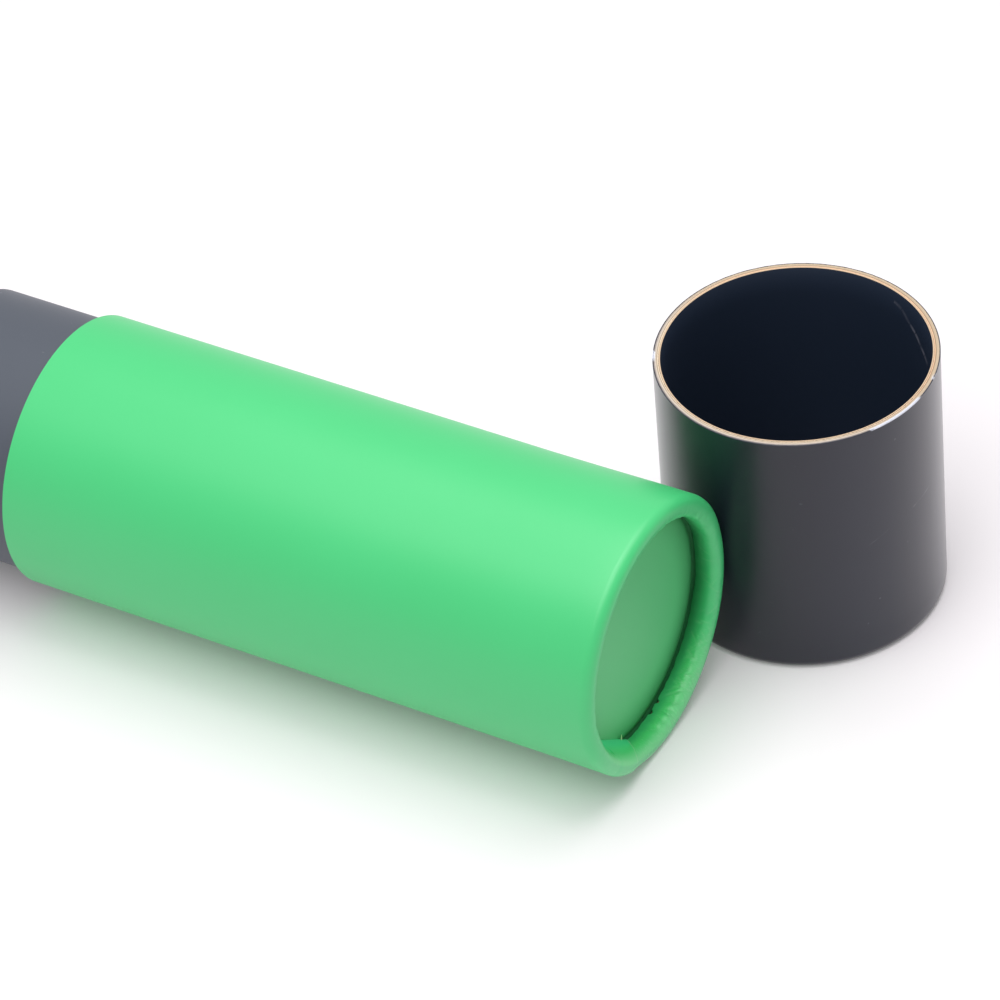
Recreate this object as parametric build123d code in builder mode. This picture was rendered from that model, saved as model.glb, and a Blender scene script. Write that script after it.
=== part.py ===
from build123d import *
from math import cos, degrees, radians, sin, sqrt, tan
import os

# Kraft paper tube: a board tube in a green paper sleeve, lying on its side, with its charcoal
# cap taken off and standing beside the sleeve's rolled end. The neck, on which the cap slides,
# stands out of the sleeve's other end. The origin is on the floor, under the middle of the
# whole set, with +X along the lying tube towards its rolled rim and +Z up.

# Driving dimensions, in millimetres
outer_diameter = 73.0      # sleeve and cap, over their paper
cap_wall = 2.0             # wrapping paper, board and lining card together
wrap_paper = 0.2           # coloured paper round the sleeve and the cap
lining_card = 0.4          # dark-faced card inside the cap
cover_card = 0.4           # dark-faced card round the neck
sleeve_length = 172.5      # from the cut end to the crest of the rolled rim
cap_height = 75.0          # from the foot to the cut rim
neck_reach = 34.0          # how far the neck stands out of the sleeve
neck_wall = 1.8            # board and card together
disc_thickness = 2.0       # both end discs
disc_edge = 0.4            # chamfer where the facing paper is pressed over a disc's edge

# Rolled rims: the wall bends inwards round a small hollow and comes down as a short leg
sleeve_roll_hollow = 0.4   # inner bend radius of the sleeve's roll
cap_roll_hollow = 0.8      # inner bend radius of the cap's roll
roll_turn = 188.0          # degrees through which the wall is rolled
roll_leg = 3.6             # length of the straight leg below the bend

# Lap seam of the green paper, on the sleeve's underside
lap_width = 9.0            # overlap of the paper's two edges
seam_azimuth = -117.5      # degrees from +Y, turning towards +Z

# Fits and clearances
neck_clearance = 0.1       # radial, covered neck in the cap
glue_line = 0.1            # radial, bare neck board in the sleeve
disc_clearance = 0.1       # radial, disc in its tube
leg_gap = 0.4              # between the sleeve's rolled leg and its disc
cap_past_rim = 2.3         # how far the cap's centre stands past the sleeve's crest
standing_gap = 0.3         # between the standing cap and the sleeve's side

# Derived sizes
outer_radius = outer_diameter / 2
cap_bore_radius = outer_radius - cap_wall
neck_radius = cap_bore_radius - neck_clearance
neck_board_radius = neck_radius - cover_card
neck_bore_radius = neck_radius - neck_wall
sleeve_bore_radius = neck_board_radius + glue_line
sleeve_wall = outer_radius - sleeve_bore_radius
sleeve_roll_radius = sleeve_wall + sleeve_roll_hollow
cap_rolled_wall = cap_wall - lining_card
cap_roll_radius = cap_rolled_wall + cap_roll_hollow
lap_angle = degrees(lap_width / outer_radius)

# Derived places
overall_length = neck_reach + sleeve_length + cap_past_rim + outer_radius
cap_x = overall_length / 2 - outer_radius
sleeve_x = cap_x - cap_past_rim - sleeve_length
shoulder_to_cap = sleeve_roll_radius + cap_past_rim
axis_spacing = outer_radius + sqrt(outer_radius**2 - shoulder_to_cap**2) + standing_gap
tube_y = -axis_spacing / 2
cap_y = axis_spacing / 2


def leg_end(length, roll_radius):
    """Height, along the tube, at which the rolled wall's leg ends."""
    turn = radians(roll_turn)
    return length - roll_radius + roll_radius * sin(turn) + roll_leg * cos(turn)


def rolled_layer(length, roll_radius, top, bottom):
    """Outline of one layer of a rolled tube, between two depths under the tube's outer face.

    X is the radius and Y runs along the tube, from its cut end to its roll."""
    turn = radians(roll_turn)
    centre = (outer_radius - roll_radius, length - roll_radius)
    end = leg_end(length, roll_radius)
    tips = []
    with BuildLine() as outline:
        for depth in (top, bottom):
            bend = roll_radius - depth
            shoulder = (outer_radius - depth, centre[1])
            foot = (centre[0] + bend * cos(turn), centre[1] + bend * sin(turn))
            tip = (foot[0] + (foot[1] - end) * tan(turn), end)
            Line((outer_radius - depth, 0), shoulder)
            CenterArc(centre, bend, 0, roll_turn)
            Line(foot, tip)
            tips.append(tip)
        Line((outer_radius - top, 0), (outer_radius - bottom, 0))
        Line(tips[0], tips[1])
    return outline.edges()


def lying_plane(azimuth=90.0):
    """Section plane through the lying tube's axis, with Y along the tube from the cut end."""
    outward = Vector(0, cos(radians(azimuth)), sin(radians(azimuth)))
    origin = (sleeve_x, tube_y, outer_radius)
    return Plane(origin=origin, x_dir=outward, z_dir=outward.cross(Vector(1, 0, 0)))


# The lying tube's axis, and the standing cap's section plane with Y down from its cut rim
tube_axis = Axis((sleeve_x, tube_y, outer_radius), (1, 0, 0))
cap_plane = Plane(origin=(cap_x, cap_y, cap_height), x_dir=(1, 0, 0), z_dir=(0, 1, 0))
cap_axis = Axis((cap_x, cap_y, 0), (0, 0, 1))

# Stations of the discs' outer faces, along each tube from its cut end
sleeve_disc_face = leg_end(sleeve_length, sleeve_roll_radius) - leg_gap
cap_disc_face = leg_end(cap_height, cap_roll_radius)
neck_length = neck_reach + sleeve_disc_face - disc_thickness

# Sleeve: wound board tube, its end rolled inwards
with BuildPart() as sleeve_board_tube:
    with BuildSketch(lying_plane()):
        make_face(rolled_layer(sleeve_length, sleeve_roll_radius, wrap_paper, sleeve_wall))
    revolve(axis=tube_axis)

# Sleeve: green paper, round the tube, over the roll and down its leg, with a lap along it
with BuildPart() as sleeve_wrap_paper:
    with BuildSketch(lying_plane()):
        make_face(rolled_layer(sleeve_length, sleeve_roll_radius, 0, wrap_paper))
    revolve(axis=tube_axis)
    with BuildSketch(lying_plane(seam_azimuth - lap_angle)):
        make_face(rolled_layer(sleeve_length, sleeve_roll_radius, -wrap_paper, 0))
    revolve(axis=tube_axis, revolution_arc=lap_angle)

# Sleeve: end disc, held between the roll and the neck tube's inner end
with BuildPart() as sleeve_end_disc:
    disc_plane = Plane(
        origin=(sleeve_x + sleeve_disc_face, tube_y, outer_radius), x_dir=(0, 1, 0), z_dir=(1, 0, 0)
    )
    with BuildSketch(disc_plane):
        Circle(sleeve_bore_radius - disc_clearance)
    extrude(amount=-disc_thickness)
    chamfer(sleeve_end_disc.edges().group_by(Axis.X)[-1], disc_edge)

# Neck: board tube from the sleeve's disc to the open mouth, glued in the sleeve
neck_plane = Plane(
    origin=(sleeve_x - neck_reach, tube_y, outer_radius), x_dir=(0, 1, 0), z_dir=(1, 0, 0)
)
with BuildPart() as neck_board_tube:
    with BuildSketch(neck_plane):
        Circle(neck_board_radius)
        Circle(neck_bore_radius, mode=Mode.SUBTRACT)
    extrude(amount=neck_length)

# Neck: charcoal card on the outside, from the mouth to the sleeve's cut end
with BuildPart() as neck_cover_card:
    with BuildSketch(neck_plane):
        Circle(neck_radius)
        Circle(neck_board_radius, mode=Mode.SUBTRACT)
    extrude(amount=neck_reach)

# Cap: board tube with a raw cut rim above and a rolled foot below
with BuildPart() as cap_board_tube:
    with BuildSketch(cap_plane):
        make_face(rolled_layer(cap_height, cap_roll_radius, wrap_paper, cap_rolled_wall))
    revolve(axis=cap_axis)

# Cap: charcoal paper, round the tube, under the foot and up the leg
with BuildPart() as cap_wrap_paper:
    with BuildSketch(cap_plane):
        make_face(rolled_layer(cap_height, cap_roll_radius, 0, wrap_paper))
    revolve(axis=cap_axis)

# Cap: end disc, seated on the roll's leg
with BuildPart() as cap_end_disc:
    with BuildSketch(Plane((cap_x, cap_y, cap_height - cap_disc_face))):
        Circle(outer_radius - cap_rolled_wall - disc_clearance)
    extrude(amount=disc_thickness)
    chamfer(cap_end_disc.edges().group_by(Axis.Z)[0], disc_edge)

# Cap: dark lining card, from the disc up to the cut rim
with BuildPart() as cap_lining_card:
    with BuildSketch(Plane((cap_x, cap_y, cap_height))):
        Circle(cap_bore_radius + lining_card)
        Circle(cap_bore_radius, mode=Mode.SUBTRACT)
    extrude(amount=disc_thickness - cap_disc_face)

os.makedirs("parts", exist_ok=True)

sleeve_board_tube.part.label = "sleeve_board_tube"
export_step(sleeve_board_tube.part, "parts/sleeve_board_tube.step")
sleeve_wrap_paper.part.label = "sleeve_wrap_paper"
export_step(sleeve_wrap_paper.part, "parts/sleeve_wrap_paper.step")
sleeve_end_disc.part.label = "sleeve_end_disc"
export_step(sleeve_end_disc.part, "parts/sleeve_end_disc.step")
neck_board_tube.part.label = "neck_board_tube"
export_step(neck_board_tube.part, "parts/neck_board_tube.step")
neck_cover_card.part.label = "neck_cover_card"
export_step(neck_cover_card.part, "parts/neck_cover_card.step")
cap_board_tube.part.label = "cap_board_tube"
export_step(cap_board_tube.part, "parts/cap_board_tube.step")
cap_wrap_paper.part.label = "cap_wrap_paper"
export_step(cap_wrap_paper.part, "parts/cap_wrap_paper.step")
cap_lining_card.part.label = "cap_lining_card"
export_step(cap_lining_card.part, "parts/cap_lining_card.step")
cap_end_disc.part.label = "cap_end_disc"
export_step(cap_end_disc.part, "parts/cap_end_disc.step")
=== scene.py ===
import math
import random
from functools import cached_property

import bpy
from mathutils import Matrix, Vector


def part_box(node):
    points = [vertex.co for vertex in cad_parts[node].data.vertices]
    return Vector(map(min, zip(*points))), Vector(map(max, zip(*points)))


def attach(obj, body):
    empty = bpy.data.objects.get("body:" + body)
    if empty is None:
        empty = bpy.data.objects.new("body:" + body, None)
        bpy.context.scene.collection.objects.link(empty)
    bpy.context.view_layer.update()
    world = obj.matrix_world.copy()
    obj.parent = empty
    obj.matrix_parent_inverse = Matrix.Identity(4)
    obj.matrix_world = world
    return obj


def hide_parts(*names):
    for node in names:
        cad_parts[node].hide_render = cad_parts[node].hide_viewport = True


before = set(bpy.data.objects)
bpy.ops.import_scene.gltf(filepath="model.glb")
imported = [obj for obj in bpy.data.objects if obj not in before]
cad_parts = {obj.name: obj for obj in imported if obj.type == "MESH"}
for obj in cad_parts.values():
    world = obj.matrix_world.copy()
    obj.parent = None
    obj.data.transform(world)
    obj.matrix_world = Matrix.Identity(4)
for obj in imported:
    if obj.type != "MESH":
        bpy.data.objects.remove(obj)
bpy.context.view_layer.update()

# Kraft paper tube: the green sleeve lying on its side with its charcoal neck, and the cap
# standing beside its rolled rim. Lengths are in metres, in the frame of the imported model.

MM = 0.001

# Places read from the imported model
SLEEVE_LOW, SLEEVE_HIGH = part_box("sleeve_board_tube")
CAP_LOW, CAP_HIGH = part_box("cap_wrap_paper")
DISC_LOW, DISC_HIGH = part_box("sleeve_end_disc")
CAP_DISC_LOW, CAP_DISC_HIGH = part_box("cap_end_disc")

OUTER = (CAP_HIGH.x - CAP_LOW.x) / 2          # radius of the sleeve and the cap
CUT_END = SLEEVE_LOW.x                        # the sleeve's cut end, where the neck comes out
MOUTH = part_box("neck_board_tube")[0].x        # the neck's open mouth
TUBE_Y = (SLEEVE_LOW.y + SLEEVE_HIGH.y) / 2
CAP_X = (CAP_LOW.x + CAP_HIGH.x) / 2
CAP_Y = (CAP_LOW.y + CAP_HIGH.y) / 2
CAP_TOP = CAP_HIGH.z
TUBE_AXIS = Vector((0, TUBE_Y, OUTER))
CAP_AXIS = Vector((CAP_X, CAP_Y, 0))

# Sizes that the solids are built to
PAPER = 0.2 * MM
CARD = 0.4 * MM
SLEEVE_LENGTH = 172.5 * MM                    # from the cut end to the crest of the rolled rim
SLEEVE_ROLL = 2.8 * MM                        # radius of the sleeve's roll over its paper
SLEEVE_BORE = 34.1 * MM
CAP_ROLL = 2.4 * MM
CAP_WALL = 1.6 * MM                           # board and paper, without the lining
CAP_BORE = 34.5 * MM
NECK_OUTER = 34.4 * MM
NECK_BOARD = 34.0 * MM
NECK_BORE = 32.6 * MM
ROLL_TURN = math.radians(188)
ROLL_LEG = 3.6 * MM
LEG_SPREAD = 0.55 * MM                        # how far the sleeve's leg springs out at its tip
DISC_PLAY = 0.1 * MM                          # between a disc and the tube round it

# The sleeve's roll: the centre of its bend, where its leg begins and where the leg ends, as
# radius from the axis and station from the cut end
ROLL_RADIUS, ROLL_STATION = OUTER - SLEEVE_ROLL, SLEEVE_LENGTH - SLEEVE_ROLL
FOOT_RADIUS = ROLL_RADIUS + SLEEVE_ROLL * math.cos(ROLL_TURN)
FOOT_STATION = ROLL_STATION + SLEEVE_ROLL * math.sin(ROLL_TURN)
TIP_STATION = FOOT_STATION + ROLL_LEG * math.cos(ROLL_TURN)
TIP_RADIUS = FOOT_RADIUS - ROLL_LEG * math.sin(ROLL_TURN) + LEG_SPREAD

# The green paper's lap: azimuths of its hidden and its free edge, and of the corner to which
# the free edge runs out on the leg
LAP_START, LAP_END = math.radians(-131.6), math.radians(-117.5)
LAP_FLARE_END = math.radians(-105)
LAP_STAND = 0.18 * MM                         # how far the lap stands over the paper below it
LAP_TOP, LAP_UNDER = 0.01 * MM, 0.06 * MM     # depths of its two faces before it is raised
LAP_MIDDLE = (LAP_TOP + LAP_UNDER) / 2
TAB_MIDDLE = math.radians(-130.8)             # the folded lap lies flat, square to this azimuth
TAB_DEPTH = 28.5 * MM                         # distance of its edge from the tube's axis
TAB_SLOPE = 0.52                              # fall from the fold to that edge
TAB_PUSH = 3 * MM                             # most that the fold stands in from the round leg

# How far the rim's paper is pressed out of its even roll
RIM_ZONE = 9 * MM                             # length of the sleeve over which this happens
PUFF = 0.28 * MM                              # air under the paper, outside the lap
WRINKLE = 0.19 * MM                           # the deepest crease
FULLNESS = 0.5 * MM                           # fuller roll where the lap lies over it
FLARE = 0.45 * MM                             # widening of the far and upper side
CHIP = 0.9 * MM                               # notches in the paper's edge on the disc
CREASES, CREASE_SEED = 170, 11
LUMPS, LUMP_SEED = 9, 5
LEG_REACH = 0.78                              # share of the way over the roll where the leg begins

# Faces round each turned piece, more where its edge is in plain sight
ROUND_RIM = 1080
ROUND_CAP = 900
ROUND_CARD = 720
ROUND_BOARD = 480
ROUND_DISC = 256

PLY_GROOVE = 0.09 * MM                        # depth of the grooves between a cut end's plies
CUT_BAND = 0.15 * MM                          # length of tube over which a cut end is roughened
WELD = 0.004 * MM                             # points nearer than this are merged


def pick_none():
    bpy.ops.object.select_all(action="DESELECT")


def start_outline(name, place):
    """A new piece in edit mode, whose mesh is one selected vertex at the given place."""
    pick_none()
    bpy.ops.mesh.primitive_plane_add(size=MM, location=place)
    piece = bpy.context.object
    piece.name = piece.data.name = name
    bpy.ops.object.transform_apply(location=True, rotation=True, scale=True)
    bpy.ops.object.mode_set(mode="EDIT")
    bpy.ops.mesh.select_mode(type="VERT")
    bpy.ops.mesh.select_all(action="SELECT")
    bpy.ops.mesh.merge(type="CENTER")
    return piece


def draw_on(points):
    """Extrudes the selected vertex through the points, the first of which it already holds."""
    for here, there in zip(points, points[1:]):
        bpy.ops.mesh.extrude_region_move(TRANSFORM_OT_translate={"value": there - here})


def close_shell():
    """Merges the doubled points of the piece in edit mode, and turns its faces outwards."""
    bpy.ops.mesh.select_all(action="SELECT")
    bpy.ops.mesh.remove_doubles(threshold=WELD)
    bpy.ops.mesh.normals_make_consistent(inside=False)


def turn_piece(name, outline, centre, axis, steps):
    """A piece turned from its outline round an axis, closed, with its faces outwards."""
    piece = start_outline(name, outline[0])
    draw_on(outline)
    bpy.ops.object.mode_set(mode="OBJECT")
    piece.data.transform(Matrix.Translation(-centre))
    piece.location = centre
    lathe = piece.modifiers.new("lathe", "SCREW")
    lathe.axis = axis
    lathe.steps = lathe.render_steps = steps
    lathe.use_merge_vertices = True
    lathe.merge_threshold = WELD
    apply_modifiers(piece)
    bpy.ops.object.transform_apply(location=True, rotation=True, scale=True)
    bpy.ops.object.mode_set(mode="EDIT")
    close_shell()
    bpy.ops.object.mode_set(mode="OBJECT")
    return piece


def shade(piece, angle=32):
    pick_none()
    piece.select_set(True)
    bpy.context.view_layer.objects.active = piece
    bpy.ops.object.shade_smooth_by_angle(angle=math.radians(angle))


def apply_modifiers(piece):
    pick_none()
    piece.select_set(True)
    bpy.context.view_layer.objects.active = piece
    for modifier in list(piece.modifiers):
        bpy.ops.object.modifier_apply(modifier=modifier.name)


def press(piece, name, strength, weight_of, direction="NORMAL"):
    """Pushes the surface by strength times a weight for each vertex, outwards or along X, Y or Z."""
    group = piece.vertex_groups.new(name=name)
    for vertex in piece.data.vertices:
        weight = weight_of(vertex.co)
        if weight > 0.002:
            group.add([vertex.index], min(weight, 1.0), "REPLACE")
    modifier = piece.modifiers.new(name, "DISPLACE")
    modifier.vertex_group = name
    modifier.direction = direction
    modifier.mid_level = 0
    modifier.strength = strength
    apply_modifiers(piece)
    piece.vertex_groups.remove(piece.vertex_groups[name])


def finish_piece(piece, node, material):
    """Puts a finished piece in the place of its CAD node."""
    piece.data.materials.clear()
    piece.data.materials.append(material)
    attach(piece, "root")
    if node:
        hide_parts(node)
    return piece


def along_tube(radius, station, azimuth=math.pi / 2):
    """A point on the lying tube: radius from its axis, station from the cut end."""
    return Vector((
        CUT_END + station,
        TUBE_Y + radius * math.cos(azimuth),
        OUTER + radius * math.sin(azimuth),
    ))


def on_cap(radius, height, azimuth=0.0):
    """A point on the standing cap: radius from its axis, height over the floor."""
    return Vector((
        CAP_X + radius * math.cos(azimuth), CAP_Y + radius * math.sin(azimuth), height
    ))


def tube_polar(point):
    """(azimuth, radius, station) of a point round the lying tube."""
    y, z = point.y - TUBE_Y, point.z - OUTER
    return math.atan2(z, y), math.hypot(y, z), point.x - CUT_END


def cap_polar(point):
    """(azimuth, radius, height) of a point round the standing cap."""
    x, y = point.x - CAP_X, point.y - CAP_Y
    return math.atan2(y, x), math.hypot(x, y), point.z


def angle_between(first, second):
    """The turn from the second angle to the first, at most half a turn either way."""
    return (first - second + math.pi) % (2 * math.pi) - math.pi


def ease(value, low, high):
    """0 up to low, 1 from high on, and an even curve between."""
    t = max(0.0, min(1.0, (value - low) / (high - low)))
    return t * t * (3 - 2 * t)


def rolled_side(length, roll, depth, arc_steps, leg_steps, stations, leg=ROLL_LEG, spread=0.0):
    """(radius, station) points of one side of a rolled wall, a given depth under its face."""
    bend = roll - depth
    centre = (OUTER - roll, length - roll)
    tip_station = centre[1] + roll * math.sin(ROLL_TURN) + leg * math.cos(ROLL_TURN)
    side = [(OUTER - depth, s) for s in stations]
    for i in range(arc_steps + 1):
        turn = ROLL_TURN * i / arc_steps
        side.append((centre[0] + bend * math.cos(turn), centre[1] + bend * math.sin(turn)))
    foot = side[-1]
    for i in range(1, leg_steps + 1):
        station = foot[1] + (tip_station - foot[1]) * i / leg_steps
        down = foot[1] - station
        side.append((
            foot[0] + down * math.tan(ROLL_TURN) + spread * (down / ROLL_LEG) ** 2, station
        ))
    return side


class Wire:
    """A number on its way between shader nodes, so that shader maths reads as plain sums."""

    def __init__(self, finish, socket):
        self.finish, self.socket = finish, socket

    def sum(self, operation, *values):
        numbered = dict(enumerate(values))
        return self.finish.node("Math", {"operation": operation}, numbered)

    def __add__(self, other):
        return self.sum("ADD", self, other)

    def __sub__(self, other):
        return self.sum("SUBTRACT", self, other)

    def __rsub__(self, other):
        return self.sum("SUBTRACT", other, self)

    def __mul__(self, other):
        return self.sum("MULTIPLY", self, other)

    def __truediv__(self, other):
        return self.sum("DIVIDE", self, other)

    def __pow__(self, other):
        return self.sum("POWER", self, other)

    __radd__ = __add__
    __rmul__ = __mul__


class Finish:
    """A new material, or the world, and the nodes that it is wired from."""

    def __init__(self, name, owners=bpy.data.materials):
        self.owner = owners.new(name)
        self.owner.use_nodes = True
        self.tree = self.owner.node_tree
        self.tree.nodes.clear()

    def node(self, kind, settings=None, inputs=None, output=0):
        """Adds a node: its settings come first, then the values or links of its sockets."""
        made = self.tree.nodes.new("ShaderNode" + kind)
        for key, value in (settings or {}).items():
            if key == "stops":
                ramp = made.color_ramp.elements
                ramp[0].position, ramp[0].color = value[0]
                ramp[1].position, ramp[1].color = value[-1]
                for position, tone in value[1:-1]:
                    ramp.new(position).color = tone
            else:
                setattr(made, key, value)
        for key, value in (inputs or {}).items():
            if isinstance(value, Wire):
                self.tree.links.new(value.socket, made.inputs[key])
            else:
                made.inputs[key].default_value = value
        return Wire(self, made.outputs[output]) if made.outputs else None

    def close(self, shader, kind="OutputMaterial"):
        """Wires the last shader to the output."""
        self.node(kind, None, {0: shader})
        return self.owner

    @cached_property
    def place(self):
        """The object's own coordinates."""
        return self.node("TexCoord", output="Object")

    def mix(self, factor, first, second):
        """The second colour over the first, by a factor."""
        return self.node("Mix", {"data_type": "RGBA"}, {0: factor, 6: first, 7: second}, 2)

    def band(self, value, low, high):
        """0 where value is under low, 1 over high, eased between."""
        settings = {"interpolation_type": "SMOOTHSTEP"}
        return self.node("MapRange", settings, {0: value, 1: low, 2: high})

    def facing(self, across, up, azimuth, low, high):
        """1 on the side of a tube that looks to an azimuth, easing to 0 away from it."""
        turn = math.radians(azimuth)
        along = across * math.cos(turn) + up * math.sin(turn)
        return self.band(along / (across * across + up * up) ** 0.5, low, high)

    def shifted(self, offset, scale=(1, 1, 1), turn=(0, 0, 0)):
        """The object's coordinates with a new origin, turned and stretched."""
        moved = self.node(
            "VectorMath", {"operation": "SUBTRACT"}, {0: self.place, 1: offset}, "Vector"
        )
        return self.node(
            "Mapping", {"vector_type": "POINT"}, {0: moved, "Rotation": turn, "Scale": scale}
        )

    def noise(self, scale, detail=2.0, rough=0.5, vector=None):
        inputs = {"Scale": scale, "Detail": detail, "Roughness": rough}
        inputs["Vector"] = vector or self.place
        return self.node("TexNoise", None, inputs)

    def turn_of(self, across, up):
        """The azimuth of a point, from its two coordinates across an axis."""
        return self.node("Math", {"operation": "ARCTAN2"}, {0: up, 1: across})

    def attribute(self, name):
        return self.node("Attribute", {"attribute_name": name}, None, "Fac")

    def split(self, vector):
        """The three parts of a vector."""
        made = self.node("SeparateXYZ", None, {0: vector}).socket.node
        return [Wire(self, socket) for socket in made.outputs]

    def surface(self, colour, roughness, height=None, bump=0.2, distance=0.1 * MM, **constants):
        """The closing shader, with an optional bump from a height."""
        inputs = {"Base Color": colour, "Roughness": roughness}
        if height is not None:
            relief = {"Strength": bump, "Distance": distance, "Height": height}
            inputs["Normal"] = self.node("Bump", None, relief)
        inputs.update({key.replace("_", " "): value for key, value in constants.items()})
        return self.close(self.node("BsdfPrincipled", None, inputs))


def colour(red, green, blue):
    """A colour from its screen values, 0 to 255."""
    linear = [
        v / 12.92 if v <= 0.04045 else ((v + 0.055) / 1.055) ** 2.4
        for v in (red / 255, green / 255, blue / 255)
    ]
    return (*linear, 1.0)


def green_paper(name, flap=0.0):
    """Dyed green wrapping paper, satin, with a fine fibre, painted shade down the rim's fold and
    painted highlights over the rim.
    """
    paper = Finish(name)
    cloud = paper.noise(26.0, 3.0, 0.55)
    fibre = paper.noise(2600.0, 3.0, 0.6)
    long_fibre = paper.noise(900.0, 4.0, 0.6, paper.shifted((0, 0, 0), (0.35, 1.6, 1.6)))
    base = paper.mix(cloud * 0.5, colour(67, 202, 121), colour(73, 209, 129))
    base = paper.mix(paper.band(fibre, 0.55, 0.8) * 0.08, base, colour(120, 225, 155))
    base, streak = rim_tones(paper, base, cloud, flap)
    # Paler where the paper is creased and worn; on the lap this is a painted highlight along its
    # free edge.
    base = paper.mix(paper.attribute("crease") * 0.30, base, colour(150, 220, 165))
    rough = 0.34 + cloud * 0.06 + fibre * 0.05
    height = fibre * 0.35 + long_fibre * 0.65 + streak * 13.0
    return paper.surface(base, rough, height, 0.10, 0.05 * MM, Specular_IOR_Level=0.65)


def rim_tones(paper, base, cloud, flap):
    """The rim's painted shade and highlights, its rubbed crest and fine streaks: flap is 1 on the
    lap, 0 elsewhere.
    """
    x, y, z = paper.split(paper.shifted(tuple(TUBE_AXIS)))
    radius = (y * y + z * z) ** 0.5
    crest = CUT_END + SLEEVE_LENGTH
    inside = 1 - paper.band(radius, 32.9 * MM, 33.7 * MM)
    # Painted shade: darker down the inside of the roll, most of all on its far side.
    deep = (1 - paper.band(x, CUT_END + TIP_STATION + 0.4 * MM, crest - 0.6 * MM)) * inside
    far = deep * (0.10 + 0.62 * paper.facing(y, z, 3, 0.1, 1.0))
    base = paper.mix(far, base, colour(20, 92, 50))
    # Painted highlight: the inner slope is paler on the folded lap and just beside it.
    folded = inside * (1 - paper.band(x, crest - 3.8 * MM, crest - 1.3 * MM))
    folded = folded * (flap + (1 - flap) * paper.facing(y, z, -151, 0.93, 0.955))
    base = paper.mix(folded * 0.8, base, colour(76, 238, 160))
    # On the lower side, painted highlight lightens the inner slope, and the crest is paler, partly
    # from rubbing and partly painted highlight.
    crest_wear_and_highlight = paper.band(x, crest - 2.6 * MM, crest - 0.4 * MM)
    low = paper.facing(y, z, -95, 0.35, 0.9)
    slope = inside * paper.band(x, CUT_END + TIP_STATION + 1.2 * MM, crest - 3.0 * MM)
    base = paper.mix(slope * low * (0.3 + 0.5 * cloud), base, colour(90, 226, 122))
    base = paper.mix(crest_wear_and_highlight * low * (0.5 + cloud) * 0.22, base, colour(178, 238, 196))
    azimuth = paper.turn_of(y, z)
    around = paper.node("CombineXYZ", None, {0: azimuth * 9.0, 1: radius * 70.0, 2: x * 70.0})
    streak = paper.band(paper.noise(11.0, 2.0, 0.5, around), 0.57, 0.70)
    streak = streak * paper.band(x, crest - 5.5 * MM, crest - 2.5 * MM) * low * (1 - flap)
    return paper.mix(streak * 0.30, base, colour(168, 232, 184)), streak


def disc_paper():
    """The end disc's facing, a little greyer than the sleeve's paper, with painted shade towards its
    edge under the roll.
    """
    paper = Finish("green_paper_disc")
    cloud = paper.noise(40.0, 3.0, 0.55)
    fibre = paper.noise(2400.0, 3.0, 0.6)
    base = paper.mix(cloud * 0.5, colour(91, 202, 128), colour(97, 208, 135))
    base = paper.mix(paper.band(fibre, 0.55, 0.8) * 0.08, base, colour(130, 215, 160))
    _, y, z = paper.split(paper.shifted(tuple(TUBE_AXIS)))
    radius = (y * y + z * z) ** 0.5
    shade_ring = paper.band(radius, 21 * MM, 33 * MM) * 0.72
    shade_ring = shade_ring * (0.45 + 0.55 * paper.facing(y, z, -30, -0.1, 0.8))
    base = paper.mix(shade_ring, base, colour(42, 118, 68))
    # Painted shade: a dark ring at the joint under the roll's leg.
    base = paper.mix(paper.band(radius, 30.8 * MM, 31.9 * MM) * 0.5, base, colour(26, 96, 52))
    return paper.surface(base, 0.42 + cloud * 0.05 + fibre * 0.05, fibre, 0.12, 0.05 * MM)


def torn_paper():
    """Bare fibre of torn green paper."""
    paper = Finish("green_paper_torn")
    fibre = paper.noise(2600.0, 3.0, 0.6)
    return paper.surface(paper.mix(fibre, colour(140, 205, 130), colour(215, 240, 190)), 0.7)


def edge_bands(finish, bands):
    """A mask round the cap: 1 within each (first, last) azimuth in degrees, with soft ends."""
    x, y, _ = finish.split(finish.shifted(tuple(CAP_AXIS)))
    azimuth = finish.turn_of(x, y) + (finish.noise(700.0, 3.0, 0.6) - 0.5) * 0.10
    mask = 0.0
    for first, last in bands:
        first, last = math.radians(first), math.radians(last)
        here = finish.band(azimuth, first - 0.01, first + 0.01)
        here = here * (1 - finish.band(azimuth, last - 0.06, last + 0.02))
        mask = here + mask
    return mask


# Azimuths, in degrees, between which the cap's paper has peeled at its rim
PEELED = ((-31.5, -3.0), (-157.0, -150.0), (8.5, 11.0))


def scuff(finish, start, end, width, fade):
    """A straight scratch between two points, as a mask that is 1 on its line."""
    start, end = Vector(start), Vector(end)
    along = (end - start).normalized()
    offset = finish.node("VectorMath", {"operation": "SUBTRACT"}, {0: finish.place, 1: start}, 0)
    run = finish.node(
        "VectorMath", {"operation": "DOT_PRODUCT"}, {0: offset, 1: along}, "Value"
    )
    reach = finish.node("VectorMath", {"operation": "LENGTH"}, {0: offset}, "Value")
    away = (reach * reach - run * run) ** 0.5
    line = 1 - finish.band(away + finish.noise(500.0, 2.0, 0.5) * (width * 0.6), width * 0.4, width)
    length = (end - start).length
    return line * finish.band(run, 0, fade) * (1 - finish.band(run, length - fade, length))


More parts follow.
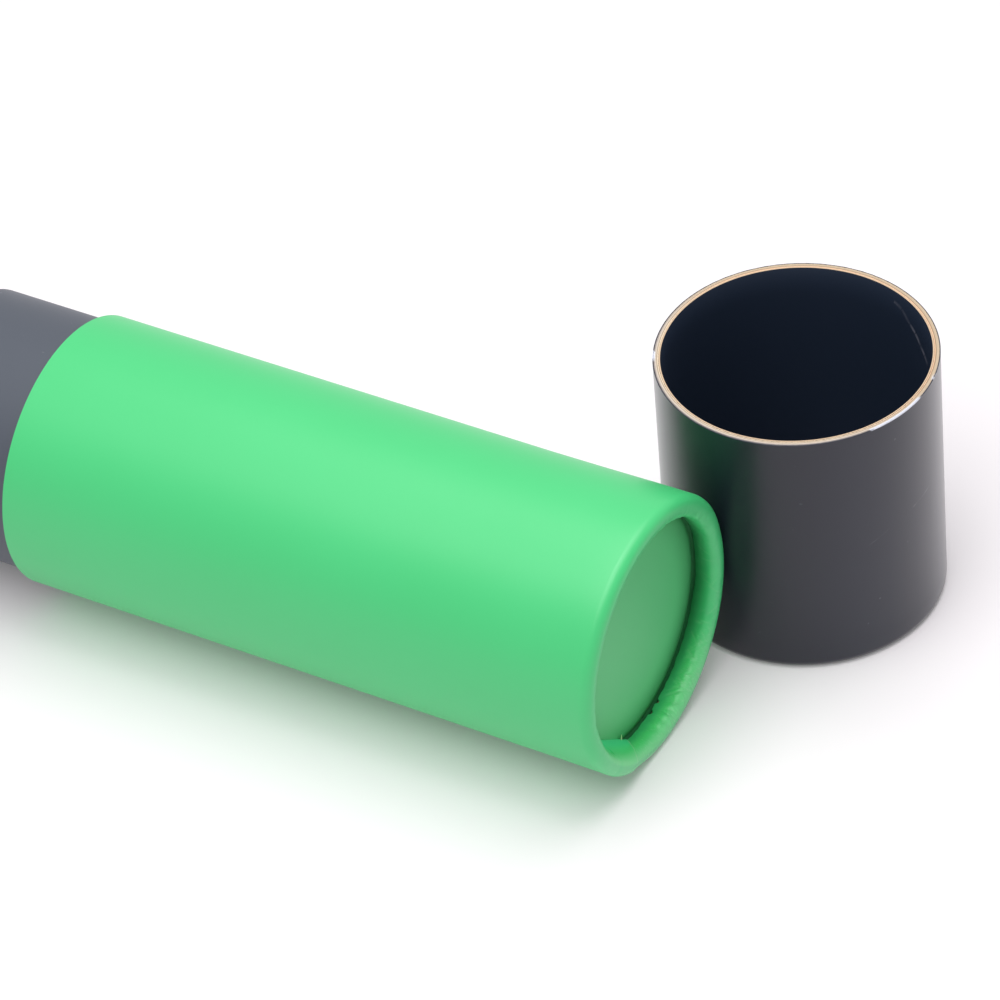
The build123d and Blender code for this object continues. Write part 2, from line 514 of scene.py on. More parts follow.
def charcoal_paper():
    """Charcoal wrapping paper of the cap, satin, with pale specks, scuffs and a worn cut edge, with
    painted shade under the rim and beside the tube.
    """
    paper = Finish("charcoal_paper")
    cloud = paper.noise(30.0, 3.0, 0.5)
    fibre = paper.noise(2400.0, 3.0, 0.6)
    speck = paper.band(paper.noise(420.0, 1.0, 0.4), 0.77, 0.82)
    base = paper.mix(cloud * 0.5, colour(35, 38, 51), colour(42, 45, 58))
    base = paper.mix(speck * 0.35, base, colour(104, 108, 116))
    mark = scuff(paper, on_cap(OUTER, 42.0 * MM, math.radians(-12.5)),
                 on_cap(OUTER, 43.5 * MM, math.radians(1.0)), 0.5 * MM, 2 * MM)
    faint = scuff(paper, on_cap(OUTER, 37.5 * MM, math.radians(-36)),
                  on_cap(OUTER, 40.5 * MM, math.radians(-24)), 0.4 * MM, 3 * MM)
    base = paper.mix(mark * 0.22 + faint * 0.10, base, colour(170, 172, 180))
    x, y, z = paper.split(paper.shifted(tuple(CAP_AXIS)))
    # Painted shade: the side that faces the tube is darker.
    base = paper.mix(paper.facing(x, y, -100, 0.42, 0.95) * 0.72, base, colour(17, 16, 33))
    # Painted shade: a thin dark band just under the cut rim, in place of the shadow of a fine groove
    # there.
    edge = paper.band(z, CAP_TOP - 0.30 * MM, CAP_TOP - 0.16 * MM)
    base = paper.mix(edge * 0.8, base, colour(30, 33, 50))
    cut = paper.band(z, CAP_TOP - 0.06 * MM, CAP_TOP - 0.02 * MM)
    base = paper.mix(cut * 0.5, base, colour(84, 86, 98))
    peeled = edge_bands(paper, PEELED) * paper.band(z, CAP_TOP - 0.35 * MM, CAP_TOP - 0.22 * MM)
    base = paper.mix(peeled, base, colour(216, 219, 232))
    rough = 0.30 + cloud * 0.06 + fibre * 0.04
    return paper.surface(
        base, rough, fibre, 0.10, 0.05 * MM, Specular_IOR_Level=0.31, Coat_Weight=1.0,
        Coat_IOR=1.27, Coat_Roughness=0.3,
    )


def charcoal_card():
    """Charcoal-faced card round the neck."""
    card = Finish("charcoal_card")
    cloud = card.noise(24.0, 3.0, 0.5)
    fibre = card.noise(2200.0, 3.0, 0.6)
    speck = card.band(card.noise(430.0, 1.0, 0.4), 0.76, 0.82)
    base = card.mix(cloud * 0.5, colour(74, 80, 91), colour(82, 87, 98))
    base = card.mix(speck * 0.4, base, colour(140, 143, 150))
    x = card.split(card.place)[0]
    cut = 1 - card.band(x, MOUTH + 0.02 * MM, MOUTH + 0.05 * MM)
    base = card.mix(cut, base, colour(198, 176, 146))
    rough = 0.42 + cloud * 0.08 + fibre * 0.05
    return card.surface(base, rough, fibre, 0.10, 0.05 * MM)


# The scratch inside the cap, as azimuths in degrees and heights in millimetres
SCRATCH = (
    (71.4, 71.6), (66.4, 70.6), (61.0, 67.7), (56.7, 66.4), (52.1, 64.3), (48.0, 62.8),
    (43.8, 61.6),
)


def lining_card():
    """Near-black navy facing of the card inside the cap, with its brown core on the cut rim."""
    card = Finish("lining_card")
    cloud = card.noise(30.0, 3.0, 0.5)
    fibre = card.noise(2200.0, 3.0, 0.6)
    base = card.mix(cloud * 0.5, colour(32, 44, 63), colour(37, 48, 68))
    trail = [on_cap(CAP_BORE, height * MM, math.radians(turn)) for turn, height in SCRATCH]
    marks = 0.0
    for here, there in zip(trail, trail[1:]):
        marks = scuff(card, here, there, 1.3 * MM, 0.3 * MM) + marks
    marks = marks * (0.3 + card.band(card.noise(260.0, 2.0, 0.5), 0.4, 0.62))
    base = card.mix(marks * 0.42, base, colour(150, 150, 165))
    z = card.split(card.place)[2]
    cut = card.band(z, CAP_TOP - 0.05 * MM, CAP_TOP - 0.02 * MM)
    base = card.mix(cut, base, colour(212, 184, 153))
    return card.surface(base, 0.45 + fibre * 0.06, fibre, 0.10, 0.05 * MM)


# Colours across the cap's cut rim, from the inside out: paler on the near side, partly from wear and
# partly a painted highlight, with painted shade at its outer edge; a warmer inner ply round the rest
NEAR_PLIES = (
    (0.00, colour(230, 210, 182)), (0.18, colour(232, 211, 184)), (0.32, colour(150, 132, 112)),
    (0.46, colour(216, 201, 182)), (0.64, colour(196, 184, 174)), (0.84, colour(140, 132, 128)),
    (1.00, colour(84, 81, 86)),
)
FAR_PLIES = (
    (0.00, colour(232, 186, 150)), (0.18, colour(232, 192, 158)), (0.32, colour(140, 116, 92)),
    (0.46, colour(196, 173, 146)), (0.80, colour(198, 178, 152)), (1.00, colour(184, 168, 148)),
)


SPIRAL_PITCH = 118 * MM                       # length of tube that one turn of a ply covers


def kraft_board(name, axis_point, lying, rim_bands=()):
    """Raw brown board: fibrous, its outer ply greyer, with a spiral joint inside the tube."""
    board = Finish(name)
    x, y, z = board.split(board.shifted(tuple(axis_point)))
    across, up, along = (y, z, x) if lying else (x, y, z)
    radius = (across * across + up * up) ** 0.5
    fibre = board.noise(1500.0, 4.0, 0.65)
    cloud = board.noise(90.0, 3.0, 0.5)
    base = board.mix(cloud * 0.6, colour(213, 188, 164), colour(199, 171, 145))
    outer_ply = board.band(radius + (cloud - 0.5) * (0.2 * MM), 35.40 * MM, 35.62 * MM)
    base = board.mix(outer_ply * 0.7, base, colour(206, 192, 168))
    base = board.mix(board.band(fibre, 0.5, 0.8) * 0.3, base, colour(228, 214, 196))
    turns = board.turn_of(across, up) / (2 * math.pi) + along / SPIRAL_PITCH
    joint = board.node("Math", {"operation": "PINGPONG"}, {0: turns, 1: 0.5})
    joint = (1 - board.band(joint, 0.0015, 0.004)) * (1 - board.band(radius, 32.8 * MM, 32.9 * MM))
    base = board.mix(joint * 0.6, base, colour(120, 92, 62))
    if rim_bands:
        # The near side of the cut rim takes paler plies, partly worn and partly painted highlight,
        # with painted shade at their outer edge.
        far = board.facing(across, up, 75, -0.6, 0.4)
        across_rim = (radius - 34.9 * MM + (cloud - 0.5) * (0.14 * MM)) / (1.4 * MM)
        near_rim, far_rim = [
            board.node("ValToRGB", {"stops": stops}, {0: across_rim})
            for stops in (NEAR_PLIES, FAR_PLIES)
        ]
        plies = board.mix(board.band(fibre, 0.5, 0.8) * 0.12, board.mix(far, near_rim, far_rim),
                          colour(240, 228, 212))
        base = board.mix(board.band(along, CAP_TOP - 0.5 * MM, CAP_TOP - 0.3 * MM), base, plies)
        peeled = edge_bands(board, rim_bands) * board.band(radius, 35.75 * MM, 35.9 * MM)
        base = board.mix(peeled, base, colour(222, 224, 234))
    return board.surface(base, 0.8, fibre - joint * 1.5, 0.35, 0.08 * MM)


def crease_field(seed, count):
    """Wrinkles over the rolled rim: (azimuth, width, start, end, slant, force) of each."""
    draw = random.Random(seed)
    creases = []
    while len(creases) < count:
        azimuth = draw.uniform(-math.pi, math.pi)
        worn = 0.25 + 0.75 * math.exp(-(angle_between(azimuth, math.radians(-62)) / 0.75) ** 2)
        if covered(azimuth) > 0.6 or draw.random() > worn:
            continue
        start = draw.uniform(0.34, 0.74)
        end = min(1.0, start + draw.uniform(0.07, 0.22))
        slant, force = draw.uniform(-0.55, 0.55), draw.uniform(0.3, 1.0) * worn
        width = draw.uniform(0.18, 0.4) * MM
        creases.append((azimuth, width, start, end, slant, force))
        if draw.random() < 0.4:
            creases.append((azimuth + slant * 0.04, width, start, end, -slant, force * 0.8))
    return creases


def covered(azimuth):
    """1 where the lap lies over the rim, easing to 0 on both of its sides."""
    begun = ease(azimuth, math.radians(-172), math.radians(-138))
    return begun * (1 - ease(azimuth, LAP_FLARE_END, math.radians(-84)))


def slope_reach(radius, station):
    """How far a point lies over the roll: 0 on the body, 0.39 at the crest, 1 at the leg's tip."""
    if station < ROLL_STATION and radius > ROLL_RADIUS:
        return 0.0
    if station < FOOT_STATION and radius < ROLL_RADIUS:
        down = (FOOT_STATION - station) / (FOOT_STATION - TIP_STATION)
        return min(1.0, LEG_REACH + down * (1 - LEG_REACH))
    turn = math.atan2(station - ROLL_STATION, radius - ROLL_RADIUS) % (2 * math.pi)
    return turn / ROLL_TURN * LEG_REACH


def rolled_depth(radius, station):
    """Depth of a point under the sleeve's outer face, on the body, the roll or the leg."""
    if radius > ROLL_RADIUS and station < ROLL_STATION:
        return OUTER - radius
    if station < FOOT_STATION:
        down = FOOT_STATION - station
        line = FOOT_RADIUS + down * math.tan(ROLL_TURN) + LEG_SPREAD * (down / ROLL_LEG) ** 2
        return (line - radius) * math.cos(ROLL_TURN)
    return SLEEVE_ROLL - math.hypot(radius - ROLL_RADIUS, station - ROLL_STATION)


def on_face(point):
    """Whether a point lies on the outer face of the rim's paper."""
    radius, station = tube_polar(point)[1:]
    return station > SLEEVE_LENGTH - RIM_ZONE and rolled_depth(radius, station) < PAPER / 2


def on_body(point):
    """Whether a point lies on the straight wall or the roll's outer half."""
    return tube_polar(point)[1] > ROLL_RADIUS


def off_body(point):
    return not on_body(point)


def tab_depth(azimuth, radius, station, stand=0.0):
    """How far the folded lap stands in from the round leg, as a share of TAB_PUSH."""
    off = angle_between(azimuth, TAB_MIDDLE)
    if abs(off) > math.radians(32) or radius > ROLL_RADIUS:
        return 0.0
    aside = TAB_DEPTH * math.tan(off)
    slope = max(0.12, TAB_SLOPE - aside * aside * 2400)
    chord = (TAB_DEPTH + (station - TIP_STATION) * slope) / math.cos(off) - stand
    return max(0.0, radius - chord) / TAB_PUSH * ease(slope_reach(radius, station), 0.55, 0.65)


def lap_bulge(point):
    """The doubled paper holds the roll a little fuller where the lap lies over it."""
    if not on_face(point):
        return 0.0
    azimuth, radius, station = tube_polar(point)
    around = ease(azimuth, math.radians(-178), math.radians(-146))
    around *= 1 - ease(azimuth, math.radians(-123), math.radians(-108))
    reach = slope_reach(radius, station)
    return around * ease(reach, -0.05, 0.2) * (1 - ease(reach, 0.42, 0.62))


def creases_by_degree(creases):
    """The creases that may reach each whole degree round the tube."""
    near = {}
    for crease in creases:
        here = round(math.degrees(crease[0]))
        for degree in range(here - 5, here + 6):
            near.setdefault((degree + 180) % 360 - 180, []).append(crease)
    return near


def crease_depth(point, near):
    """How deep the paper is creased at a point, from 0 to 1."""
    azimuth, radius, station = tube_polar(point)
    reach = slope_reach(radius, station)
    if station < SLEEVE_LENGTH - RIM_ZONE or reach <= 0.26:
        return 0.0
    depth = 0.0
    degree = (round(math.degrees(azimuth)) + 180) % 360 - 180
    for middle, width, start, end, slant, force in near.get(degree, []):
        offset = angle_between(azimuth, middle + slant * (reach - start)) * radius / width
        if abs(offset) < 3:
            fade = ease(reach, start - 0.06, start + 0.04)
            fade *= 1 - ease(reach, end - 0.04, end + 0.06)
            depth = max(depth, force * fade * math.exp(-offset * offset))
    return depth


def puffed(point, lumps):
    """Air under the rim's paper, in slow waves."""
    if not on_face(point):
        return 0.0
    azimuth, radius, station = tube_polar(point)
    reach = slope_reach(radius, station)
    wave = sum(math.sin(azimuth * n + phase + reach * pitch) for phase, n, pitch in lumps)
    wave /= len(lumps)
    onset = 0.28 + 0.2 * wave
    return ease(reach, onset, onset + 0.26) * (0.5 + 1.1 * wave) * (1 - covered(azimuth))


def flared(point):
    """The sleeve widens a little towards its roll, on the far and upper side."""
    azimuth, radius, station = tube_polar(point)
    if rolled_depth(radius, station) > PAPER / 2 or azimuth < 0:
        return 0.0
    around = ease(azimuth, math.radians(10), math.radians(34))
    around *= 1 - ease(azimuth, math.radians(118), math.radians(150))
    over = 1 - ease(slope_reach(radius, station), 0.16, 0.52)
    return around * over * ease(station, SLEEVE_LENGTH - 45 * MM, SLEEVE_LENGTH - 2 * MM)


def notches(azimuth, places):
    """Depth of the deepest notch, from (azimuth in degrees, width in degrees, depth) of each."""
    depth = 0.0
    for centre, width, full in places:
        off = math.degrees(angle_between(azimuth, math.radians(centre))) / width
        depth = max(depth, full * math.exp(-off * off))
    return depth


def chipped(point):
    """Notches in the edge of the paper that lies on the disc."""
    azimuth, radius, station = tube_polar(point)
    if slope_reach(radius, station) < 0.97 or radius > 33 * MM:
        return 0.0
    return notches(azimuth, ((-82.3, 1.1, 1.0), (-75.6, 0.8, 0.95), (-58, 2.2, 0.2)))


def mark_wear_and_edge_highlight(piece, values):
    """Writes, for its material, how worn the paper is at each vertex, and where its edge takes a
    painted highlight.
    """
    piece.data.attributes.new("crease", "FLOAT", "POINT").data.foreach_set("value", values)


def make_sleeve_paper(material):
    """The green paper round the sleeve, over its roll and down the leg, puffed and wrinkled."""
    stations = [s * SLEEVE_LENGTH / 12 for s in range(12)] + [SLEEVE_LENGTH - 8 * MM]
    outside = rolled_side(SLEEVE_LENGTH, SLEEVE_ROLL, 0, 26, 9, stations, spread=LEG_SPREAD)
    inside = rolled_side(
        SLEEVE_LENGTH, SLEEVE_ROLL, PAPER, 10, 4, stations[::6], spread=LEG_SPREAD
    )
    outline = [along_tube(r, s) for r, s in outside + inside[::-1] + outside[:1]]
    paper = turn_piece("sleeve_green_paper", outline, TUBE_AXIS, "X", ROUND_RIM)

    near = creases_by_degree(crease_field(CREASE_SEED, CREASES))
    draw = random.Random(LUMP_SEED)
    lumps = [
        (draw.uniform(0, 6.3), draw.randint(9, 60), draw.uniform(2, 7)) for _ in range(LUMPS)
    ]
    press(paper, "puff", PUFF, lambda p: puffed(p, lumps))
    press(paper, "wrinkle", -WRINKLE, lambda p: crease_depth(p, near) if on_face(p) else 0.0)
    press(paper, "bulge", FULLNESS, lap_bulge)
    press(paper, "flare", FLARE, flared)
    press(paper, "tab", TAB_PUSH, lambda p: tab_depth(*tube_polar(p)) if on_face(p) else 0.0)
    press(paper, "chipped", CHIP, chipped, "X")
    mark_wear_and_edge_highlight(paper, [crease_depth(v.co, near) for v in paper.data.vertices])
    shade(paper)
    return finish_piece(paper, "sleeve_wrap_paper", material)


def cut_away(through, normal, wanted):
    """Cuts the faces of the piece in edit mode whose centre is wanted, by a plane, and drops
    what its normal points to."""
    piece = bpy.context.object
    bpy.ops.object.mode_set(mode="OBJECT")
    mesh = piece.data
    chosen = [wanted(polygon.center) for polygon in mesh.polygons]
    mesh.polygons.foreach_set("select", chosen)
    corners = [False] * len(mesh.vertices)
    sides = set()
    for polygon, take in zip(mesh.polygons, chosen):
        if take:
            sides.update(polygon.edge_keys)
            for corner in polygon.vertices:
                corners[corner] = True
    mesh.vertices.foreach_set("select", corners)
    mesh.edges.foreach_set("select", [edge.key in sides for edge in mesh.edges])
    bpy.ops.object.mode_set(mode="EDIT")
    bpy.ops.mesh.select_mode(type="FACE")
    bpy.ops.mesh.bisect(plane_co=through, plane_no=normal, clear_outer=True, threshold=0.0005 * MM)


def lap_strip():
    """A thin strip over the body, the roll and the leg, in edit mode, wider than the lap."""
    first, last = math.radians(-137), math.radians(-100)
    stations = [s * SLEEVE_LENGTH / 10 for s in range(10)]
    outside, inside = [
        rolled_side(SLEEVE_LENGTH, SLEEVE_ROLL, depth, 24, 10, stations, spread=LEG_SPREAD)
        for depth in (LAP_TOP, LAP_UNDER)
    ]
    outline = [along_tube(r, s, first) for r, s in outside + inside[::-1] + outside[:1]]
    lap = start_outline("sleeve_paper_lap", outline[0])
    draw_on(outline)
    bpy.ops.mesh.select_all(action="SELECT")
    bpy.ops.mesh.spin(steps=96, angle=first - last, center=TUBE_AXIS, axis=(1, 0, 0))
    close_shell()
    return lap


def lap_edge():
    """The free edge: its point on the crest, its corner on the leg, and the normals of its two
    cuts, along the body and down the roll."""
    side = Vector((0, -math.sin(LAP_END), math.cos(LAP_END)))
    crest = along_tube(ROLL_RADIUS, SLEEVE_LENGTH, LAP_END)
    corner = along_tube(TIP_RADIUS, TIP_STATION, LAP_FLARE_END)
    inward = Vector((0, math.cos(math.radians(-110)), math.sin(math.radians(-110))))
    slant = (crest - corner).cross(inward).normalized()
    return crest, corner, side, -slant if slant.dot(side) < 0 else slant


def trim_lap(crest, corner, side, slant):
    """Cuts the strip along the free edge, rounds its corner and closes the cut."""
    cut_away(crest, side, on_body)
    cut_away(crest, slant, off_body)
    run = (corner - crest).normalized()
    for back, lean in ((0.75, 0.35), (0.45, 0.75)):
        cut = (slant * (1 - lean) + Vector((-1, 0, 0)) * lean).normalized()
        cut_away(corner - run * back * MM, cut, off_body)
    bpy.ops.mesh.select_mode(type="VERT")
    bpy.ops.mesh.select_all(action="DESELECT")
    bpy.ops.mesh.select_non_manifold()
    bpy.ops.mesh.fill()
    close_shell()
    bpy.ops.object.mode_set(mode="OBJECT")


def make_sleeve_lap(material):
    """The paper's overlapping edge: along the underside, over the roll and flared on its leg."""
    lap = lap_strip()
    crest, corner, side, slant = lap_edge()
    trim_lap(crest, corner, side, slant)

    def lift(point):
        azimuth, radius, station = tube_polar(point)
        over = rolled_depth(radius, station) < LAP_MIDDLE
        return ease(azimuth, math.radians(-136), LAP_START) if over else 0.0

    def fold(point):
        azimuth, radius, station = tube_polar(point)
        if rolled_depth(radius, station) > LAP_MIDDLE:
            return 0.0
        return tab_depth(azimuth, radius, station, LAP_STAND)

    # Painted highlight: the lap's free edge is marked fully pale, for the light caught by its thin
    # edge.
    worn = [
        4.0 if abs((v.co - crest).dot(side if on_body(v.co) else slant)) < LAP_UNDER else 0.0
        for v in lap.data.vertices
    ]
    press(lap, "lift", LAP_STAND + LAP_TOP, lift)
    press(lap, "bulge", FULLNESS, lap_bulge)
    press(lap, "fold", TAB_PUSH, fold)
    mark_wear_and_edge_highlight(lap, worn)
    shade(lap)
    return finish_piece(lap, None, material)


def make_torn_fibre(material):
    """A sliver of torn paper standing on the disc at the edge of the folded lap."""
    low = along_tube(31.2 * MM, TIP_STATION + 0.05 * MM, math.radians(-110.6))
    high = along_tube(29.2 * MM, TIP_STATION - 0.25 * MM, math.radians(-110.0))
    pick_none()
    bpy.ops.mesh.primitive_cone_add(
        vertices=8, radius1=0.36 * MM, radius2=0.08 * MM, depth=(high - low).length,
        location=(low + high) / 2, rotation=(high - low).to_track_quat("Z", "Y").to_euler(),
    )
    fibre = bpy.context.object
    fibre.name = fibre.data.name = "sleeve_torn_fibre"
    bpy.ops.object.transform_apply(location=True, rotation=True, scale=True)
    shade(fibre, 60)
    return finish_piece(fibre, None, material)


def make_sleeve_disc(material):
    """The sleeve's end disc: its facing rises to a ring where the roll presses round it."""
    face, back = DISC_HIGH.x - CUT_END, DISC_LOW.x - CUT_END
    edge = SLEEVE_BORE - DISC_PLAY
    fall = (                                  # (radius, depth under the solid's face), in mm
        (0, 0.12), (14, 0.08), (22, 0.01), (25, 0), (26.8, 0.02), (28.3, 0.06), (29.4, 0.12),
        (30.2, 0.20), (30.7, 0.30), (31.1, 0.42), (31.4, 0.54), (31.7, 0.64), (32.0, 0.66),
        (32.3, 0.58), (32.7, 0.32), (33.1, 0.14), (33.5, 0.10),
    )
    outline = [(r * MM, face - d * MM) for r, d in fall]
    outline += [(edge, face - 0.3 * MM), (edge, back), (0, back)]
    disc = turn_piece(
        "sleeve_disc_face", [along_tube(r, s) for r, s in outline], TUBE_AXIS, "X", ROUND_DISC
    )
    shade(disc)
    return finish_piece(disc, "sleeve_end_disc", material)


def ply_points(inner, outer, plies, depth):
    """(radius, depth) points across a cut board end, each ply rounded between fine grooves."""
    points = []
    for i in range(plies):
        low = inner + (outer - inner) * i / plies
        high = inner + (outer - inner) * (i + 1) / plies
        width = high - low
        for share, sink in ((0.06, 1.0), (0.22, 0.25), (0.5, 0.0), (0.78, 0.2), (0.94, 1.0)):
            points.append((low + width * share, depth * sink))
    return points


def roughen(piece, name, wanted, amount, size):
    """Breaks up a cut edge with a fine cloud texture, where wanted gives a weight."""
    group = piece.vertex_groups.new(name=name)
    for vertex in piece.data.vertices:
        weight = wanted(vertex.co)
        if weight > 0:
            group.add([vertex.index], weight, "REPLACE")
    texture = bpy.data.textures.new(name, "CLOUDS")
    texture.noise_scale, texture.noise_depth = size, 2
    modifier = piece.modifiers.new(name, "DISPLACE")
    modifier.texture = texture
    modifier.texture_coords = "LOCAL"
    modifier.vertex_group = name
    modifier.mid_level = 0.85                 # mostly inwards
    modifier.strength = amount
    apply_modifiers(piece)
    piece.vertex_groups.remove(piece.vertex_groups[name])


def make_neck_board(material):
    """The neck's tube: bare board inside, roughly cut at its mouth."""
    inner_end = DISC_LOW.x - CUT_END
    mouth = MOUTH - CUT_END
    outline = [(NECK_BOARD, inner_end), (NECK_BORE, inner_end)]
    outline += [(NECK_BORE, inner_end + (mouth - inner_end) * i / 10) for i in range(1, 10)]
    outline += [(NECK_BORE, mouth + 2 * MM), (NECK_BORE, mouth + 0.5 * MM)]
    outline += [(r, mouth + d) for r, d in ply_points(NECK_BORE, NECK_BOARD, 3, PLY_GROOVE)]
    outline += [(NECK_BOARD, mouth + 0.1 * MM), (NECK_BOARD, inner_end)]
    board = turn_piece(
        "neck_kraft_board", [along_tube(r, s) for r, s in outline], TUBE_AXIS, "X", ROUND_BOARD
    )
    low = MOUTH + CUT_BAND
    roughen(board, "mouth", lambda p: 1.0 if p.x < low else 0.0, 0.25 * MM, 0.5 * MM)
    shade(board, 50)
    return finish_piece(board, "neck_board_tube", material)


def make_neck_card(material):
    """The neck's dark card, with a fine groove where its edges meet."""
    reach = CUT_END - MOUTH
    outline = [
        (NECK_BOARD, 0), (NECK_OUTER, 0), (NECK_OUTER, -reach * 0.5),
        (NECK_OUTER, -reach + 0.5 * MM), (NECK_OUTER - 0.03 * MM, -reach + 0.15 * MM),
        (NECK_OUTER - 0.12 * MM, -reach), (NECK_BOARD, -reach), (NECK_BOARD, 0),
    ]
    card = turn_piece(
        "neck_charcoal_card", [along_tube(r, s) for r, s in outline], TUBE_AXIS, "X", ROUND_CARD
    )

    def joint(point):
        azimuth, radius, _ = tube_polar(point)
        off = angle_between(azimuth, math.radians(-64)) * radius / (0.35 * MM)
        return math.exp(-off * off) if radius > NECK_OUTER - 0.2 * MM else 0.0

    press(card, "joint", -0.15 * MM, joint)
    shade(card)
    return finish_piece(card, "neck_cover_card", material)


def make_sleeve_board(material):
    """The sleeve's tube: cut at one end and rolled inwards at the other."""
    wall = OUTER - SLEEVE_BORE
    stations = [s * SLEEVE_LENGTH / 6 for s in range(1, 6)]
    leg = ROLL_LEG - 0.75 * MM                # so that the paper's edge covers the board's
    outside = rolled_side(SLEEVE_LENGTH, SLEEVE_ROLL, PAPER, 16, 4, stations, leg, LEG_SPREAD)
    inside = rolled_side(SLEEVE_LENGTH, SLEEVE_ROLL, wall, 8, 4, stations, leg, LEG_SPREAD * 0.45)
    cut = ply_points(SLEEVE_BORE, OUTER - PAPER, 4, PLY_GROOVE)
    outline = outside + inside[::-1] + [(SLEEVE_BORE, 0.1 * MM)] + cut
    outline += [(OUTER - PAPER, 0.1 * MM), outside[0]]
    board = turn_piece(
        "sleeve_kraft_board", [along_tube(r, s) for r, s in outline], TUBE_AXIS, "X", ROUND_BOARD
    )
    low = CUT_END + CUT_BAND
    roughen(board, "cut", lambda p: 1.0 if p.x < low else 0.0, 0.2 * MM, 0.5 * MM)
    shade(board, 50)
    return finish_piece(board, "sleeve_board_tube", material)


def make_cap_paper(material):
    """The charcoal paper round the cap, with a worn edge at the cut rim."""
    stations = [0, 0.12 * MM, 0.35 * MM, 1.2 * MM] + [s * CAP_TOP / 12 for s in range(1, 12)]
    outside = rolled_side(CAP_TOP, CAP_ROLL, 0, 20, 4, stations)
    outside[0] = (OUTER - 0.08 * MM, 0)
    inside = rolled_side(CAP_TOP, CAP_ROLL, PAPER, 10, 2, [0] + stations[6::4])
    outline = [on_cap(r, CAP_TOP - s) for r, s in outside + inside[::-1] + outside[:1]]
    paper = turn_piece("cap_charcoal_paper", outline, CAP_AXIS, "Z", ROUND_CAP)

    def worn(point):
        azimuth, _, height = cap_polar(point)
        if height < CAP_TOP - 0.05 * MM:
            return 0.0
        rough = 0.15 * abs(math.sin(azimuth * 31 + 1.7 * math.sin(azimuth * 9)))
        return max(rough, notches(azimuth, ((-31, 1.2, 1.0), (10.5, 0.9, 1.0), (-152, 2.5, 0.7))))

    press(paper, "worn", -0.35 * MM, worn, "Z")
    shade(paper)
    return finish_piece(paper, "cap_wrap_paper", material)


def make_cap_board(material):
    """The cap's tube, whose cut plies show at the rim."""
    stations = [s * CAP_TOP / 5 for s in range(1, 5)]
    outside = rolled_side(CAP_TOP, CAP_ROLL, PAPER, 14, 3, stations)
    inside = rolled_side(CAP_TOP, CAP_ROLL, CAP_WALL, 8, 3, stations)
    cut = ply_points(CAP_BORE + CARD, OUTER - PAPER, 2, 0.035 * MM)
    outline = outside + inside[::-1] + [(CAP_BORE + CARD, 0.15 * MM)] + cut
    outline += [(OUTER - PAPER, 0.15 * MM), outside[0]]
    board = turn_piece(
        "cap_kraft_board", [on_cap(r, CAP_TOP - s) for r, s in outline], CAP_AXIS, "Z", ROUND_CARD
    )
    high = CAP_TOP - 0.2 * MM
    roughen(board, "rim", lambda p: 1.0 if p.z > high else 0.0, 0.14 * MM, 0.6 * MM)
    shade(board, 50)
    return finish_piece(board, "cap_board_tube", material)


def make_cap_lining(material):
    """The dark card inside the cap, from its disc up to the rim."""
    low = CAP_DISC_HIGH.z
    outline = [(CAP_BORE + CARD, low), (CAP_BORE, low)]
    outline += [(CAP_BORE, low + (CAP_TOP - low) * i / 8) for i in range(1, 8)]
    outline += [
        (CAP_BORE, CAP_TOP - 0.12 * MM), (CAP_BORE + 0.06 * MM, CAP_TOP - 0.01 * MM),
        (CAP_BORE + CARD, CAP_TOP - 0.01 * MM), (CAP_BORE + CARD, low),
    ]
    lining = turn_piece(
        "cap_dark_lining", [on_cap(r, z) for r, z in outline], CAP_AXIS, "Z", ROUND_BOARD
    )
    shade(lining)
    return finish_piece(lining, "cap_lining_card", material)


def make_cap_disc(material):
    """The disc in the cap's foot."""
    low, high = CAP_DISC_LOW.z, CAP_DISC_HIGH.z
    edge = (CAP_DISC_HIGH.x - CAP_DISC_LOW.x) / 2
    corner = 0.8 * MM                         # the facing is pressed round over the lower edge
    outline = [
        (0, high - 0.1 * MM), (edge * 0.6, high - 0.06 * MM), (edge - 1.0 * MM, high), (edge, high)
    ]
    for i in range(8):
        turn = math.pi / 2 * i / 7
        outline.append((
            edge - corner + corner * math.cos(turn), low + corner - corner * math.sin(turn)
        ))
    outline += [(edge * 0.5, low + 0.08 * MM), (0, low + 0.1 * MM)]
    disc = turn_piece(
        "cap_disc_facing", [on_cap(r, z) for r, z in outline], CAP_AXIS, "Z", ROUND_DISC
    )
    shade(disc)
    return finish_piece(disc, "cap_end_disc", material)


FLOOR_GLOW = 0.12                             # share of plain white in the floor's look
FLOOR_DROP = 0.02 * MM                        # the floor lies this far under the object


def floor_white():
    """Pale floor that looks a little brighter, to the camera, than the light on it."""
    white = Finish("studio_floor_white")
    lit = white.node(
        "BsdfPrincipled", None,
        {"Base Color": (0.96, 0.915, 0.945, 1.0), "Roughness": 0.6, "Specular IOR Level": 0.2},
    )
    seen = white.node("LightPath", output="Is Camera Ray") + white.node(
        "LightPath", output="Is Glossy Ray"
    )
    glow = white.node("Emission", None, {"Color": (1, 1, 1, 1), "Strength": 1.0})
    return white.close(white.node("MixShader", None, {0: seen * FLOOR_GLOW, 1: lit, 2: glow}))


def make_floor():
    pick_none()
    bpy.ops.mesh.primitive_plane_add(size=6, location=(0, 0, -FLOOR_DROP))
    floor = bpy.context.object
    floor.name = "studio_floor"
    floor.data.materials.append(floor_white())


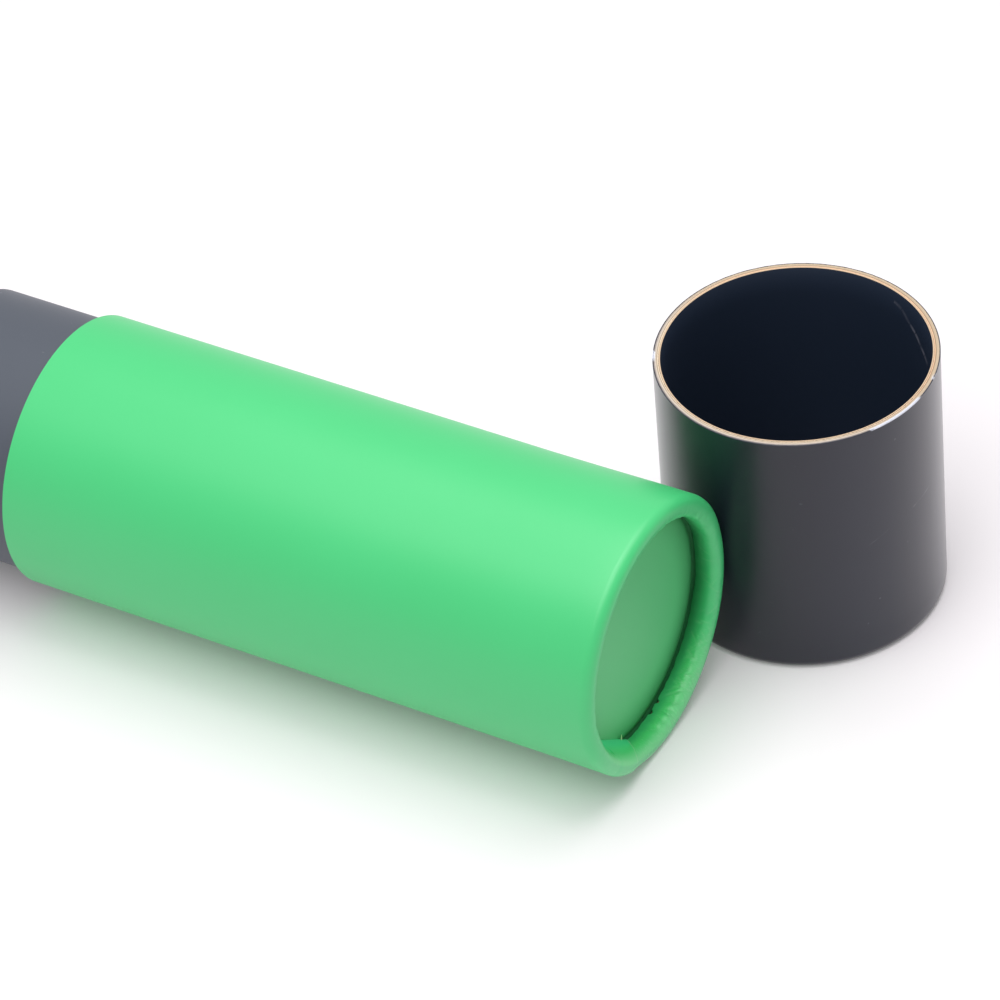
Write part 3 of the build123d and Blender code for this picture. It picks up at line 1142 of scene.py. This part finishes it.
def make_camera():
    """The photograph's view: a long lens from above the rolled end's near side."""
    data = bpy.data.cameras.new("photo_view")
    camera = bpy.data.objects.new("photo_view", data)
    bpy.context.scene.collection.objects.link(camera)
    aim = Vector((-0.0018, 0.0283, 0.0))
    azimuth, elevation, roll = math.radians(33.12), math.radians(40.54), -0.0926
    distance = 1.5894
    back = Vector((
        math.sin(azimuth) * math.cos(elevation),
        -math.cos(azimuth) * math.cos(elevation),
        math.sin(elevation),
    ))
    level = (-back).to_track_quat("-Z", "Y").to_matrix().to_4x4()
    camera.matrix_world = (
        Matrix.Translation(aim + back * distance) @ level @ Matrix.Rotation(roll, 4, "Z")
    )
    data.lens = 214.6
    data.sensor_width = 36
    data.clip_start, data.clip_end = 0.05, 20
    bpy.context.scene.camera = camera


def make_lamp(name, place, aim, size, power):
    """A round soft lamp of a size in metres and a power in watts."""
    data = bpy.data.lights.new(name, "AREA")
    data.shape = "DISK"
    data.size, data.energy = size, power
    lamp = bpy.data.objects.new(name, data)
    bpy.context.scene.collection.objects.link(lamp)
    lamp.location = place
    lamp.rotation_euler = (Vector(aim) - Vector(place)).to_track_quat("-Z", "Y").to_euler()


def make_world(strength):
    """Even light from all round, seen as plain white by the camera and in reflections."""
    air = Finish("studio_air", bpy.data.worlds)
    bpy.context.scene.world = air.owner
    camera_ray, glossy_ray = [
        air.node("LightPath", output=ray) for ray in ("Is Camera Ray", "Is Glossy Ray")
    ]
    seen = camera_ray.sum("MAXIMUM", camera_ray, glossy_ray)
    level = air.node("MapRange", None, {0: seen, 3: strength, 4: 1.0})
    air.close(air.node("Background", None, {"Strength": level}), "OutputWorld")


make_camera()
make_world(0.40)
make_floor()
make_lamp("front_softbox", (0.05, -0.5, 1.25), (0, 0, 0), 1.2, 9.9)
make_lamp("back_softbox", (0.05, 0.3, 1.3), (0, 0, 0), 1.2, 9.8)

make_sleeve_paper(green_paper("green_paper_creased"))
make_sleeve_lap(green_paper("green_paper_lap", 1.0))
make_torn_fibre(torn_paper())
make_sleeve_disc(disc_paper())
make_neck_card(charcoal_card())
make_cap_paper(charcoal_paper())
lining = lining_card()
make_cap_lining(lining)
make_cap_disc(lining)
tube_board = kraft_board("kraft_board_tube", TUBE_AXIS, True)
make_sleeve_board(tube_board)
make_neck_board(tube_board)
make_cap_board(kraft_board("kraft_board_cap", CAP_AXIS, False, PEELED))

bpy.context.scene.view_settings.view_transform = "Standard"
